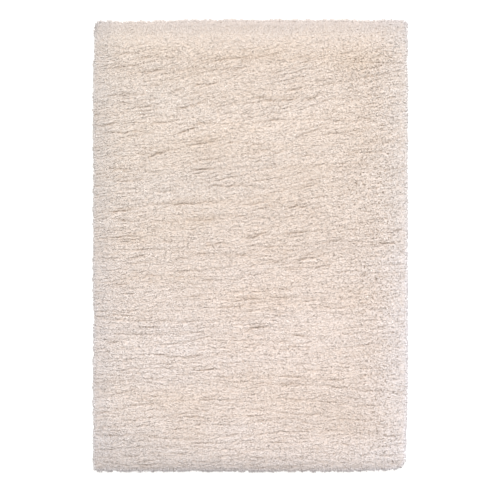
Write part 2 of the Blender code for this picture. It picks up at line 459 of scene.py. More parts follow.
def surface(x, y):
    """Height of the pile's surface and how far it is sunk, for arrays of any shape.

    The top swells by smooth noises, sinks by the partings, and rounds off near the border as
    (1 - (1 - d / width)^2) to a power, where d is the distance in from the body's own edge.
    """
    depth = sunk(x, y)
    top = PILE_TOP - depth + waves(x, y, SWELLS)
    distance, outward = border(x, y)
    far, near = facing(outward)
    width = SIDE_ROUND + (FAR_ROUND - SIDE_ROUND) * far + (NEAR_ROUND - SIDE_ROUND) * near
    t = np.clip((distance - BODY_INSET) / width, 0.0, 1.0)
    return EDGE_LOW + (top - EDGE_LOW) * (1 - (1 - t) ** 2) ** EDGE_POWER, depth


line = np.linspace(-0.9, 0.9, 400)
height, depth = surface(0 * line, line)
print(f"along the middle: {height.min() * 1000:.1f} to {height.max() * 1000:.1f} mm high")

# %% [markdown]
# ## Patches of tone, painted light and painted shade
#
# Soft patches, some peach, some grey, some painted lighter or darker: partly tone, partly painted
# light and shade. They are wider than tall, as the pile lies across the rug. The right side is a
# cool strip, painted lighter, and the left one a strip of painted shade.

# %% Patches
Patch = namedtuple("Patch", "x y wide tall warm light")
# middle and half widths in metres; warm is + for peach, - for grey; light is + for lighter, partly
# tone and partly painted light and shade
PATCHES = [Patch(*row) for row in (
    (+0.76, +0.00, 0.120, 3.00, -0.3, +0.4),
    (+0.77, +0.00, 0.022, 3.00, +0.0, -0.3),
    (-0.77, +0.00, 0.060, 3.00, -0.1, -1.5),
    (+0.79, -0.45, 0.120, 0.65, -0.5, +0.7),
    (+0.05, +0.98, 0.650, 0.07, +0.5, +0.1),
    (+0.56, +0.92, 0.120, 0.05, +0.5, -0.7),
    (-0.38, +0.74, 0.240, 0.08, -0.4, +0.4),
    (+0.37, +0.73, 0.120, 0.08, -0.2, +0.5),
    (+0.02, +0.61, 0.520, 0.05, +0.0, +0.9),
    (+0.56, +0.50, 0.100, 0.10, +0.3, -0.5),
    (-0.20, +0.33, 0.400, 0.08, -0.2, -0.5),
    (-0.50, +0.30, 0.200, 0.08, -0.4, +0.1),
    (-0.25, +0.12, 0.220, 0.04, +0.4, -0.4),
    (+0.38, +0.04, 0.260, 0.08, +0.1, -0.5),
    (+0.30, -0.12, 0.400, 0.05, -0.1, +0.4),
    (+0.52, -0.24, 0.100, 0.04, +0.5, -0.4),
    (-0.05, -0.26, 0.200, 0.05, +0.4, +0.7),
    (+0.40, -0.38, 0.330, 0.07, -0.2, +0.8),
    (+0.10, -0.50, 0.330, 0.07, +0.0, +0.5),
    (-0.45, -0.52, 0.280, 0.18, -0.6, +0.5),
    (+0.12, -0.75, 0.240, 0.05, +0.5, +0.0),
    (-0.34, -0.80, 0.120, 0.06, +0.4, -0.1),
    (+0.44, -0.87, 0.160, 0.09, +0.4, -1.5),
    (+0.66, -1.06, 0.180, 0.08, -0.9, +0.4),
    (-0.05, -0.96, 0.160, 0.07, -0.4, +0.3),
    (-0.27, -0.96, 0.100, 0.06, +0.3, -0.6),
    (-0.66, -1.02, 0.240, 0.10, -0.5, -1.9),
    (-0.16, -1.12, 0.700, 0.06, +0.0, -2.6),
)]


def patches(x, y):
    """Sums of warmth and lightness: each patch gives exp(-(dx / wide)^2 - (dy / tall)^2)."""
    warm, light = np.zeros_like(x), np.zeros_like(x)
    for patch in PATCHES:
        bell = np.exp(-(((x - patch.x) / patch.wide) ** 2) - ((y - patch.y) / patch.tall) ** 2)
        warm += patch.warm * bell
        light += patch.light * bell
    return warm, light


print(f"{len(PATCHES)} patches of tone")

# %% [markdown]
# ## Meshes from arrays
#
# The pieces have up to a hundred thousand faces, far too many to add one by one. So each is
# worked out as whole arrays and handed to Blender in a few calls.

# %% Meshes from arrays
def array_mesh(name, points, quads, triangles):
    """A smooth mesh from arrays of points, four-cornered faces and three-cornered ones."""
    mesh = bpy.data.meshes.new(name)
    corners = np.concatenate((quads.ravel(), triangles.ravel()))
    sizes = np.repeat((4, 3), (len(quads), len(triangles)))
    mesh.vertices.add(len(points))
    mesh.loops.add(len(corners))
    mesh.polygons.add(len(sizes))
    mesh.vertices.foreach_set("co", points.astype(np.float32).ravel())
    mesh.loops.foreach_set("vertex_index", corners.astype(np.int32))
    starts = np.concatenate(([0], np.cumsum(sizes)[:-1]))
    mesh.polygons.foreach_set("loop_start", starts.astype(np.int32))
    mesh.update(calc_edges=True)
    mesh.shade_smooth()
    return mesh


def add_number(mesh, name, values):
    """One number on every point, under a name that materials can read."""
    attribute = mesh.attributes.new(name, "FLOAT", "POINT")
    attribute.data.foreach_set("value", np.asarray(values).astype(np.float32))


print("meshes come from whole arrays: points, faces and a number on each point")

# %% [markdown]
# ## What the place does to the colour
#
# Some places are painted darker, greyer or dotted, as painted shade: along the rolled near end,
# along the far end and its shoulder, towards the border, and in the gaps between curls. Each
# effect is one number on the points, and the material turns the numbers into shades.

# %% Numbers for the place
EDGE_FADE = (0.016, 0.080)    # distances over which the two parts of the painted edge shade fade
FAR_STRIP_PAINTED_SHADE = (0.27, 0.14)    # painted shade of the far strip: its outer half, and all of it
FAR_SHOULDER_PAINTED_SHADE = (0.32, 0.018, 0.0115)  # painted shade of the far shoulder: amount, distance in, half width
NEAR_END_PAINTED_SHADE = (0.46, 0.014)        # painted shade of the near end: amount on the outline, distance to fade
NEAR_BAND_PAINTED_SHADE = (0.30, 0.006, 0.009)  # painted shade in a band at the near end: amount, distance in, half width


def bell(distance, amount, middle, half_width):
    """amount * exp(-((distance - middle) / half_width)^2)"""
    return amount * np.exp(-(((distance - middle) / half_width) ** 2))


def add_place(mesh, points):
    """Five numbers that say what the place does to the colour.

    `edge` is the painted shade towards the border, cooler and darker: a quick exponential of the
    distance plus a slow one, which is left out at the far end. `combed` is the painted shade of the
    ends: it eases up in the far strip, with a bell of the distance on the far shoulder, and a bell
    and an exponential at the near end. The gap number says how plainly the painted shade in the
    gaps between curls shows. `warm` and `light` are 0.5 plus shares of the patches' sums, and a
    little noise; the side rims are painted lighter.
    """
    x, y = points[:, 0], points[:, 1]
    distance, outward = border(x, y)
    distance = np.maximum(distance, 0.0)
    slow = np.maximum(np.minimum(HALF_WIDTH - np.abs(x), HALF_LENGTH + y), 0.0)
    quick_share, slow_share = np.exp(-distance / EDGE_FADE[0]), np.exp(-slow / EDGE_FADE[1])
    # painted shade, cooler and darker towards the border
    add_number(mesh, "edge", 0.15 * quick_share + 0.85 * slow_share)
    far, near = facing(outward)
    # painted shade of the ends: the far strip, the far shoulder and the rolled near end are painted
    # darker
    strip = FAR_STRIP_PAINTED_SHADE[0] * (1 - ease(HALF_LENGTH - y, 0.045, 0.090)) + FAR_STRIP_PAINTED_SHADE[1] * combed(y)
    turned = NEAR_END_PAINTED_SHADE[0] * np.exp(-distance / NEAR_END_PAINTED_SHADE[1]) + bell(distance, *NEAR_BAND_PAINTED_SHADE)
    add_number(mesh, "combed", strip + bell(distance, *FAR_SHOULDER_PAINTED_SHADE) * far + near * turned)
    warm, light = patches(x, y)
    warm += 0.30 * noise(x, across_partings(x, y), 0.40, 0.09, 41)
    # painted light: the left and right rims are painted lighter
    light += 0.7 * np.exp(-distance / 0.015) * np.abs(outward[:, 0])
    # painted shade in the gaps between curls: how plainly it shows, most where the pile is curly
    calm = (1 - 0.6 * combed(y)) * (0.35 + 0.65 * ease(distance, 0.020, 0.110))
    add_number(mesh, "painted_gap_shade", (0.40 + 0.60 * curliness(x, y)) * calm)
    add_number(mesh, "warm", np.clip(0.5 + 0.5 * warm, 0, 1))
    add_number(mesh, "light", np.clip(0.5 + 0.1 * light, 0, 1))


_, lightness = patches(*OUTLINE.T)
print(f"light on the outline: {lightness.min():.1f} to {lightness.max():.1f}")

# %% [markdown]
# ## The body of the pile
#
# The tufts stand so close that together they make one soft body, whose surface the eye meets a
# few millimetres below the topmost tips. It is made as two closed halves, left and right. Each
# is an even grid drawn in at the border to the rug's real outline. Where they meet, each one
# dips under the other just past the seam, so nothing shows there.

# %% A grid drawn to the outline
GRID_ACROSS = 0.0084          # spacing of the grid from left to right
GRID_ALONG = 0.0033           # and from near to far
DRAWN_ZONE = 0.86             # the grid is even up to this share of the way to the border
COLUMNS = int(round(HALF_WIDTH / GRID_ACROSS)) + 1
ROWS = int(round(2 * HALF_LENGTH / GRID_ALONG)) + 1


def drawn_in(u, v):
    """Plan of the body's grid, for u and v from -1 to 1.

    The point (u W, v L) is scaled by 1 - (1 - k) w. Here k is the size of the outline in that
    direction, compared with the full rectangle, and w eases from 0 in the middle to 1 on the
    border. W and L are half the width and length, less the inset.
    """
    ring_turn = np.arctan2(OUTLINE[:, 1] / HALF_LENGTH, OUTLINE[:, 0] / HALF_WIDTH)
    ring_size = np.maximum(np.abs(OUTLINE[:, 0]) / HALF_WIDTH, np.abs(OUTLINE[:, 1]) / HALF_LENGTH)
    k = np.interp(np.arctan2(v, u), ring_turn, ring_size, period=2 * math.pi)
    scale = 1 - (1 - k) * ease(np.maximum(np.abs(u), np.abs(v)), DRAWN_ZONE, 1.0)
    return u * (HALF_WIDTH - BODY_INSET) * scale, v * (HALF_LENGTH - BODY_INSET) * scale


def loop_numbers(rows, columns):
    """Numbers of a grid's border points, once round, as seen from above, turning left."""
    near = np.arange(columns)
    right = np.arange(1, rows) * columns + columns - 1
    far = (rows - 1) * columns + np.arange(columns - 2, -1, -1)
    left = np.arange(rows - 2, 0, -1) * columns
    return np.concatenate((near, right, far, left))


print(f"half a grid: {COLUMNS} by {ROWS} points, {len(loop_numbers(ROWS, COLUMNS))} on its border")

# %% One closed half
CREASE_SHADE_FULL = 0.0070            # the depth at which the painted shade in creases is full
BODY_GAP_SHADE_TONE = 0.42              # painted shade in the gaps: the body is darker than most tufts, between the lightest and darkest
BODY_FLOOR = 0.002            # height of the body's flat underside
SEAM_DIPS = (0.012, 0.003)    # how far the two columns past the seam dip


def body_half(name, side):
    """One closed half: the top grid, two rings of wall below its border, and a flat floor.

    `side` is -1 for left and +1 for right. Past the seam the half has two more columns.
    """
    u = np.concatenate(([-0.016, -0.008], np.linspace(0, 1, COLUMNS)))
    dip = np.concatenate((SEAM_DIPS, np.zeros(COLUMNS)))
    if side < 0:
        u, dip = -u[::-1], dip[::-1]
    u, v = np.meshgrid(u, np.linspace(-1, 1, ROWS))
    x, y = drawn_in(u, v)
    z, depth = surface(x, y)
    z = np.maximum(z - dip, BODY_FLOOR)
    rows, columns = u.shape
    loop = loop_numbers(rows, columns)
    top = np.column_stack((x.ravel(), y.ravel(), z.ravel()))
    lip = top[loop]
    walls = [lip * (1, 1, 0.5), lip * (0.995, 0.995, 0) + (0, 0, BODY_FLOOR)]
    middle = np.array([[x.mean(), 0.0, BODY_FLOOR]])
    points = np.vstack((top, *walls, middle))

    number = np.arange(rows * columns).reshape(rows, columns)
    a, b, c, d = number[:-1, :-1], number[:-1, 1:], number[1:, 1:], number[1:, :-1]
    quads = [np.stack((a, b, c, d), axis=-1).reshape(-1, 4)]
    upper = loop
    for ring in range(len(walls)):
        lower = len(top) + ring * len(loop) + np.arange(len(loop))
        quads.append(np.column_stack((lower, np.roll(lower, -1), np.roll(upper, -1), upper)))
        upper = lower
    floor = np.column_stack((np.roll(upper, -1), upper, np.full(len(loop), len(points) - 1)))
    mesh = array_mesh(name, points, np.vstack(quads), floor)
    # painted shade in creases: the share of the full depth
    crease_shade_share = np.concatenate((depth.ravel(), np.zeros(len(points) - len(top))))
    add_number(mesh, "sunk", np.clip(crease_shade_share / CREASE_SHADE_FULL, 0, 1))
    # painted shade between the tufts: the body, seen in the gaps, takes a darker tone and the full
    # root shade
    add_number(mesh, "tone", np.full(len(points), BODY_GAP_SHADE_TONE))
    add_number(mesh, "up_the_tuft", np.zeros(len(points)))
    add_place(mesh, points)
    map_body(mesh, points, len(top))
    return mesh


def map_body(mesh, points, top_count):
    """Map of a body's half. The top takes the upper nine tenths, as its plan, stretched.

    The wall and the floor go to the strip below it: every face has a narrow slot of its own,
    from left to right, and its corners fill the slot.
    """
    low, high = points.min(0), points.max(0)
    place = (points[:, :2] - low[:2]) / (high - low)[:2] * (1.0, 0.9) + (0.0, 0.1)
    vertex, start, total = (np.zeros(size, np.int32) for size in
                            (len(mesh.loops), len(mesh.polygons), len(mesh.polygons)))
    mesh.loops.foreach_get("vertex_index", vertex)
    mesh.polygons.foreach_get("loop_start", start)
    mesh.polygons.foreach_get("loop_total", total)
    corners = place[vertex]
    rim = np.maximum.reduceat(vertex, start) >= top_count
    slots = np.arange(rim.sum()) / rim.sum()
    wide = 0.8 / rim.sum()
    for corner, (right, up) in enumerate(((0, 0), (1, 0), (1, 1), (0, 1))):
        has = total[rim] > corner
        at = start[rim][has] + corner
        corners[at] = np.column_stack((slots[has] + right * wide, np.full(len(at), 0.02 + 0.06 * up)))
    mesh.uv_layers.new(name="OFBake").data.foreach_set("uv", corners.ravel())


halves = [body_half(name, side) for name, side in (("pile_body_left", -1), ("pile_body_right", 1))]
print(f"{len(halves[0].vertices)} points in each half of the body")

# %% [markdown]
# ## Locks
#
# Neighbouring tufts cling together in little locks. Each lock has a middle on a jittered grid,
# and a tuft belongs to the nearest one. All its tufts lie along the partings, most to the right
# and some to the left, and their tips draw together. Where the pile is curly each lock turns its
# own way.

# %% Locks of yarn
LOCK_WIDE = 0.050
LOCK_LONG = 0.0125
LOCK_CLING = (0.10, 0.45)     # share of the way that a tip moves to its lock's middle, x and y


def scatter(cells_x, cells_y, seed):
    """Four random numbers for a cell, always the same ones: a table, repeated."""
    table = np.random.default_rng(seed).random((NOISE_PERIOD, NOISE_PERIOD, 4))
    return table[cells_x % NOISE_PERIOD, cells_y % NOISE_PERIOD]


def nearest_lock(x, y):
    """Way from each point to the middle of its lock, and four random numbers for the lock.

    The point's cell and its eight neighbours each hold one jittered middle; the nearest counts.
    """
    gx, gy = x / LOCK_WIDE, across_partings(x, y) / LOCK_LONG
    ix, iy = np.floor(gx).astype(int), np.floor(gy).astype(int)
    best = np.full(x.shape, np.inf)
    way = np.zeros(x.shape + (2,))
    luck = np.zeros(x.shape + (4,))
    for step_x in (-1, 0, 1):
        for step_y in (-1, 0, 1):
            pair = scatter(ix + step_x, iy + step_y, 21)
            dx = ix + step_x + 0.1 + 0.8 * pair[:, 0] - gx
            dy = iy + step_y + 0.1 + 0.8 * pair[:, 1] - gy
            gap = np.hypot(dx, dy)
            closer = gap < best
            best = np.where(closer, gap, best)
            way = np.where(closer[:, None], np.stack((dx, dy), axis=1), way)
            luck = np.where(closer[:, None], scatter(ix + step_x, iy + step_y, 22), luck)
    return way * (LOCK_WIDE, LOCK_LONG), luck


print(f"a lock is about {LOCK_WIDE * 1000:.0f} by {LOCK_LONG * 1000:.1f} mm")

# %% [markdown]
# ## Where the tufts lie
#
# The tufts are punched in rows, so they start from a slightly jittered grid. Each comes up
# through the body's surface, bends over and lies on it, along the partings. Near the border it
# turns outward instead and hangs over; at the far end a whole strip is combed that way.

# %% Tufts of the field
TUFT_PITCH = 0.0062           # between neighbouring tufts
TUFT_INSET = 0.016            # the outermost tufts start this far inside the outline
JITTER = 0.45                 # of the pitch
TUFT_LENGTH = 0.021
TUFT_BURIED = 0.0028          # how far its root is below the surface
TUFT_RISE = 0.0010            # how far its middle lies above it
TIP_RISE = 0.0012             # and its tip, on average
PARTING_PUSH = 0.0030         # how far a steep groove pushes tufts off
TURN_SPREAD = 31.0            # degrees, how unlike its neighbours a tuft lies
AGAINST = 0.35                # share of tufts that lie to the left instead of the right
MIDDLE_AT = 0.42              # a tuft's middle, as a share of its length
LOWEST_END = 0.004            # no root or tip of the field is lower than this
EDGE_TURN = 0.040             # width of the strip in which tufts turn outward
FAR_TURN = 0.120              # the same at the far end
EDGE_PULL = 2.2               # how strongly they turn
FAR_PULL = 3.2
FACING_FAR = 0.7              # the border belongs to the far end where it faces it by this much

rng = np.random.default_rng(7)


def make_starts():
    """Rows across the rug, every other one shifted by half a pitch, each point jittered."""
    columns = np.arange(-HALF_WIDTH, HALF_WIDTH, TUFT_PITCH)
    rows = np.arange(-HALF_LENGTH, HALF_LENGTH, TUFT_PITCH * math.sqrt(3) / 2)
    x, y = np.meshgrid(columns, rows)
    x = x + (np.arange(len(rows)) % 2)[:, None] * TUFT_PITCH / 2
    points = np.stack((x.ravel(), y.ravel()), axis=1)
    points += rng.uniform(-JITTER, JITTER, points.shape) * TUFT_PITCH
    distance, _ = border(*points.T)
    return points[distance > TUFT_INSET]


def off_the_partings(points):
    """Each point moved down the slope of the sinking, so away from the nearest groove."""
    h = 0.0015
    x, y = points.T
    slope = [sunk(x + h, y) - sunk(x - h, y), sunk(x, y + h) - sunk(x, y - h)]
    slope = np.stack(slope, axis=1) / (2 * h)
    steep = np.hypot(*slope.T)[:, None]
    return points - PARTING_PUSH * slope / (0.4 + steep)


def lying_way(points, luck):
    """Unit direction of every tuft.

    It runs along the partings, where the corrected y does not change. Chance sends it left or
    right, and the lock turns it a little, or a lot where the pile is curly. Towards the border
    the way out is added.
    """
    x, y = points.T
    h = 0.030
    rise = (across_partings(x + h, y) - across_partings(x - h, y)) / (2 * h)
    curly = curliness(x, y)
    turn = -np.arctan(rise) + np.where(rng.random(len(x)) < AGAINST, math.pi, 0.0)
    turn += math.radians(TURN_SPREAD) * rng.normal(size=len(x)) + 0.3 * (luck[:, 2] - 0.5)
    turn += curly * (0.9 * rng.normal(size=len(x)) + 1.4 * (luck[:, 3] - 0.5))
    way = np.stack((np.cos(turn), np.sin(turn)), axis=1)
    distance, outward = border(x, y)
    at_far_end = outward[:, 1] > FACING_FAR
    strip = np.where(at_far_end, FAR_TURN, EDGE_TURN)
    strength = np.where(at_far_end, FAR_PULL, EDGE_PULL)
    pull = strength * (1 - ease(distance, TUFT_INSET, strip))
    way += outward * pull[:, None]
    return way / np.hypot(*way.T)[:, None]


Tufts = namedtuple("Tufts", "root middle tip")


def field_tufts():
    """Root, middle and tip of the field's tufts.

    Near the border the tufts bridge the steep flank: their middles are lifted to the line from
    root to tip.
    """
    start = off_the_partings(make_starts())
    way_to_lock, luck = nearest_lock(*start.T)
    way = lying_way(start, luck)
    length = TUFT_LENGTH * (0.91 + 0.18 * luck[:, 0]) * (1 + 0.15 * rng.normal(size=len(start)))
    cling = way_to_lock * LOCK_CLING
    middle = start + way * MIDDLE_AT * length[:, None] + 0.5 * cling
    tip = start + way * length[:, None] + cling
    heights, depths = zip(*(surface(*place.T) for place in (start, middle, tip)))
    over_the_edge = 1 - ease(border(*start.T)[0], 0.025, 0.040)
    bridge = np.maximum(0.6 * heights[0] + 0.4 * heights[2] - heights[1], 0.0)
    chance = rng.normal(size=(3, len(start))) * (1 - 0.6 * combed(start[:, 1]))
    root = np.column_stack((start, np.maximum(heights[0] - TUFT_BURIED, LOWEST_END)))
    height = heights[1] + over_the_edge * bridge + TUFT_RISE + 0.0006 * chance[1]
    middle = np.column_stack((middle, height))
    tip_height = heights[2] + TIP_RISE + 0.0008 * chance[2] + 0.0008 * (luck[:, 0] - 0.5)
    tip = np.column_stack((tip, np.maximum(tip_height, LOWEST_END)))
    return Tufts(root, middle, tip), np.stack(depths, axis=1)


field, field_sunk = field_tufts()
print(f"{len(field.root)} tufts in the field")

# %% [markdown]
# ## The skirt
#
# The last rows of tufts are held in the turned-under edge. They hang out over it down to the
# floor, so from the side no backing shows. Little neighbouring groups reach further out than
# others, which makes the outline uneven and soft.

# %% Skirt tufts round the border
Skirt = namedtuple("Skirt", "pitch root_height reach tip_height")
# from the lowest row to the highest, all in metres
SKIRT_ROWS = [Skirt(*row) for row in (
    (0.0046, 0.0060, 0.0200, 0.0035),
    (0.0046, 0.0120, 0.0220, 0.0090),
    (0.0046, 0.0190, 0.0215, 0.0145),
    (0.0046, 0.0250, 0.0190, 0.0195),
)]
SKIRT_START = 0.0190          # its roots lie this far inside the outline, and up to as much more
SKIRT_SPREAD = 0.0110         # as this
SKIRT_SLIP = 0.0040           # how far a root or a tip slips sideways
SKIRT_GROUPS = ((0.0075, 0.026, 0.026, 31), (0.0050, 0.012, 0.012, 32))
LOWEST_TIP = 0.0028           # height of the lowest tips, so that they lie on the floor


def skirt_tufts(row):
    """Roots along a line inside the outline and tips out near it, jittered along both.

    Those on the right and at the far end reach a little further, because the whole pile leans
    that way, and both ends are more ragged than the sides.
    """
    count = int(PERIMETER / row.pitch)
    edge = along_ring(OUTLINE, count)
    tangent = np.roll(edge, -1, axis=0) - np.roll(edge, 1, axis=0)
    tangent /= np.hypot(*tangent.T)[:, None]
    out = np.stack((tangent[:, 1], -tangent[:, 0]), axis=1)
    slip = rng.normal(size=(count, 2)) * SKIRT_SLIP
    groups = waves(*edge.T, SKIRT_GROUPS)
    (right, far), (left, near) = np.maximum(out, 0).T, np.maximum(-out, 0).T
    groups *= 1 + 0.4 * near + 0.3 * far - 0.3 * right
    longer = 0.0010 + 0.0010 * left + 0.0070 * right + 0.0065 * far
    further_in = rng.uniform(0.0, SKIRT_SPREAD, count)
    reach = row.reach + groups + longer + rng.normal(size=count) * 0.0014 + further_in - 0.0020
    start = edge - out * (SKIRT_START + further_in)[:, None] + tangent * slip[:, :1]
    end = start + out * reach[:, None] + tangent * slip[:, 1:]
    middle = start + (end - start) * 0.5
    lift = rng.normal(size=count) * 0.0010
    low = np.maximum(row.tip_height + lift, LOWEST_TIP)
    return Tufts(
        np.column_stack((start, np.full(count, row.root_height))),
        np.column_stack((middle, 0.4 * row.root_height + 0.6 * low + 0.0035)),
        np.column_stack((end, low)),
    )


skirt = [skirt_tufts(row) for row in SKIRT_ROWS]
print(f"{sum(len(row.root) for row in skirt)} tufts in the skirt")

# %% [markdown]
# ## A tuft
#
# What shows of one tuft is a soft wisp: widest in the middle, fading to a point, flat beneath.
# A point, a ring of three and another point are enough, because there are so many. That makes
# six triangles, closed all round, and smooth shading does the rest.

# %% Wisps from their root, middle and tip
SIDES = 3
POINTS_PER_TUFT = SIDES + 2
TUFT_WIDTH = 0.0031           # half width
TUFT_THICKNESS = 0.0013       # half thickness
SIZE_SPREAD = 0.16
ABOVE_FLOOR = 0.0003          # no point is lower


def tuft_points(tufts):
    """Points of every tuft, as an array of tufts by points by 3: root, ring, tip.

    The ring's middle is the tuft's. Its points lie on an ellipse across the way from root to
    tip: one above and two below, 120 degrees apart.
    """
    way = tufts.tip - tufts.root
    way /= np.linalg.norm(way, axis=1)[:, None]
    side = np.cross(way, (0.0, 0.0, 1.0))
    side /= np.maximum(np.linalg.norm(side, axis=1), 1e-6)[:, None]
    up = np.cross(side, way)
    size = (1 + SIZE_SPREAD * np.clip(rng.normal(size=len(way)), -2, 2))[:, None]
    rows = [tufts.root]
    for k in range(SIDES):
        turn = math.pi / 2 - 2 * math.pi * k / SIDES
        across = TUFT_WIDTH * math.cos(turn) * side
        above = TUFT_THICKNESS * math.sin(turn) * up
        rows.append(tufts.middle + size * (across + above))
    rows.append(tufts.tip)
    points = np.stack(rows, axis=1)
    points[..., 2] = np.maximum(points[..., 2], ABOVE_FLOOR)
    return points


def tuft_faces():
    """Corner numbers of one tuft's faces: a fan round the root and a fan round the tip."""
    tip = POINTS_PER_TUFT - 1
    ring = [(1 + k, 1 + (k + 1) % SIDES) for k in range(SIDES)]
    return [(0, b, a) for a, b in ring] + [(a, b, tip) for a, b in ring]


FACES = np.array(tuft_faces())
print(f"{POINTS_PER_TUFT} points and {len(FACES)} triangles a tuft")

# %% [markdown]
# ## Maps and attributes for the yarn
#
# Each tuft's faces take one cell of a square map, unrolled. Nothing overlaps, so the colours can
# be baked. Numbers ride on the points: how light or dark this tuft's yarn is, how far up the tuft
# the point is, how deep in a parting the tuft lies, and the five numbers for its place.

# %% Cells of the map
CELL_MARGIN = 0.08


def cell_corners():
    """Place of each face corner in a unit cell, in the order of the faces."""
    places = []
    for k in range(SIDES):
        left, right = k / SIDES, (k + 1) / SIDES
        places += [((left + right) / 2, 0.0), (right, 0.45), (left, 0.45)]
    for k in range(SIDES):
        left, right = k / SIDES, (k + 1) / SIDES
        places += [(left, 0.45), (right, 0.45), ((left + right) / 2, 1.0)]
    return np.array(places)


def cell_map(count):
    """Corner places of `count` tufts in a square map: one cell each, row by row."""
    across = math.ceil(math.sqrt(count))
    number = np.arange(count)
    origin = np.stack((number % across, number // across), axis=1)
    inner = CELL_MARGIN + (1 - 2 * CELL_MARGIN) * cell_corners()
    return (origin[:, None, :] + inner[None, :, :]).reshape(-1, 2) / across


def tuft_mesh(name, points, tone, crease_shade_share):
    """One mesh of many tufts, with its map and its numbers."""
    count = len(points)
    faces = (np.arange(count) * POINTS_PER_TUFT)[:, None, None] + FACES
    mesh = array_mesh(name, points.reshape(-1, 3), np.zeros((0, 4), int), faces.reshape(-1, 3))
    mesh.uv_layers.new(name="OFBake").data.foreach_set("uv", cell_map(count).ravel())
    add_number(mesh, "tone", np.repeat(tone, POINTS_PER_TUFT))
    # painted shade in creases, at the root, the middle and the tip
    add_number(mesh, "sunk", crease_shade_share[:, (0, 1, 1, 1, 2)].ravel())
    add_number(mesh, "up_the_tuft", np.tile((0.0, 0.55, 0.55, 0.55, 1.0), count))
    add_place(mesh, points.reshape(-1, 3))
    return mesh


print(f"{len(cell_corners())} face corners in a tuft's cell of the map")

# %% [markdown]
# ## The yarn's material
#
# The yarn is cream and matt, with a faint sheen where light grazes it. Whole areas are a little
# peach or a little grey, single tufts are lighter or darker, and each tuft is painted deeper in
# tone towards its root, as painted shade.

# %% Helpers for nodes
def new_material(name):
    """A material, its node tree and its shader."""
    material = bpy.data.materials.new(name)
    material.use_nodes = True
    tree = material.node_tree
    return material, tree, tree.nodes["Principled BSDF"]


def add_node(tree, kind, inputs, **settings):
    """A node with its settings and inputs. An input is a value or another node's socket."""
    node = tree.nodes.new("ShaderNode" + kind)
    for name, value in settings.items():
        setattr(node, name, value)
    for name, value in inputs.items():
        if isinstance(value, bpy.types.NodeSocket):
            tree.links.new(value, node.inputs[name])
        else:
            node.inputs[name].default_value = value
    return node


def place_on_rug(tree):
    return add_node(tree, "TexCoord", {}).outputs["Object"]


def number(tree, name):
    """The number of that name on the points."""
    return add_node(tree, "Attribute", {}, attribute_name=name).outputs["Fac"]


def product(tree, first, second):
    return add_node(tree, "Math", {0: first, 1: second}, operation="MULTIPLY").outputs[0]


def blend_colours(tree, factor, first, second, how="MIX"):
    """A Mix node for two colours, each a colour or another node's socket."""
    inputs = {0: factor, 6: first, 7: second}
    return add_node(tree, "Mix", inputs, data_type="RGBA", blend_type=how).outputs[2]


def soft_spots(tree, scale, stretch, low, high):
    """Noise over the object, stretched by `stretch`, and spread from low to high."""
    place = {"Vector": place_on_rug(tree), "Scale": stretch}
    stretched = add_node(tree, "Mapping", place).outputs["Vector"]
    look = {"Vector": stretched, "Scale": scale, "Detail": 1.0}
    texture = add_node(tree, "TexNoise", look)
    spread = {"Value": texture.outputs["Fac"], "From Min": low, "From Max": high}
    return add_node(tree, "MapRange", spread).outputs["Result"]


def along_axis(tree, axis, start, end):
    """0 at start and 1 at end along one of the object's axes, eased between them."""
    split = add_node(tree, "SeparateXYZ", {"Vector": place_on_rug(tree)})
    spread = {"Value": split.outputs[axis], "From Min": start, "From Max": end}
    how = {"interpolation_type": "SMOOTHSTEP"}
    return add_node(tree, "MapRange", spread, **how).outputs["Result"]


def add_relief(tree, shader, height, distance, strength):
    """Bump from a height between 0 and 1, `distance` metres high."""
    inputs = {"Height": height, "Distance": distance, "Strength": strength}
    bump = add_node(tree, "Bump", inputs)
    tree.links.new(bump.outputs["Normal"], shader.inputs["Normal"])


print("helpers for materials are ready")

# %% Yarn
PEACH = (0.866, 0.768, 0.690, 1.0)
CREAM = (0.857, 0.784, 0.743, 1.0)
GREYED = (0.858, 0.813, 0.806, 1.0)
# painted shade, darker towards each tuft's root
ROOT_PAINTED_SHADE = (0.89, 0.86, 0.83, 1.0)
# painted shade in the partings, troughs and pits, deeper where the pile has sunk further
CREASE_PAINTED_SHADE = (0.72, 0.66, 0.60, 1.0)
# painted shade: dark dots in the gaps between curls
GAP_PAINTED_SHADE = (0.58, 0.52, 0.46, 1.0)
TONE_SHADE = (0.82, 0.80, 0.78, 1.0)
# painted shade towards the border
EDGE_PAINTED_SHADE = (0.91, 0.955, 1.01, 1.0)
# painted shade of the far strip, the far shoulder and the near end
END_PAINTED_SHADE = (0.66, 0.66, 0.69, 1.0)
FAR_SHADE = (1.0, 0.987, 0.985, 1.0)
NEAR_SHADE = (1.0, 0.986, 1.01, 1.0)
# painted shade towards the left side
LEFT_PAINTED_SHADE = (0.973, 0.984, 0.984, 1.0)
# these two paint light and shade as well as tone, by the patches' lightness
DIM_TONE_AND_SHADE = (0.76, 0.76, 0.77, 1.0)
BRIGHT_TONE_AND_LIGHT = (1.24, 1.24, 1.23, 1.0)
WHITE = (1.0, 1.0, 1.0, 1.0)


GAP_SCALE = 112.0             # about nine millimetres from one gap to the next
GAP_STRETCH = (0.85, 1.0, 1.0)
FIBRE_SCALE = 195.0
FIBRE_RELIEF = 0.0018


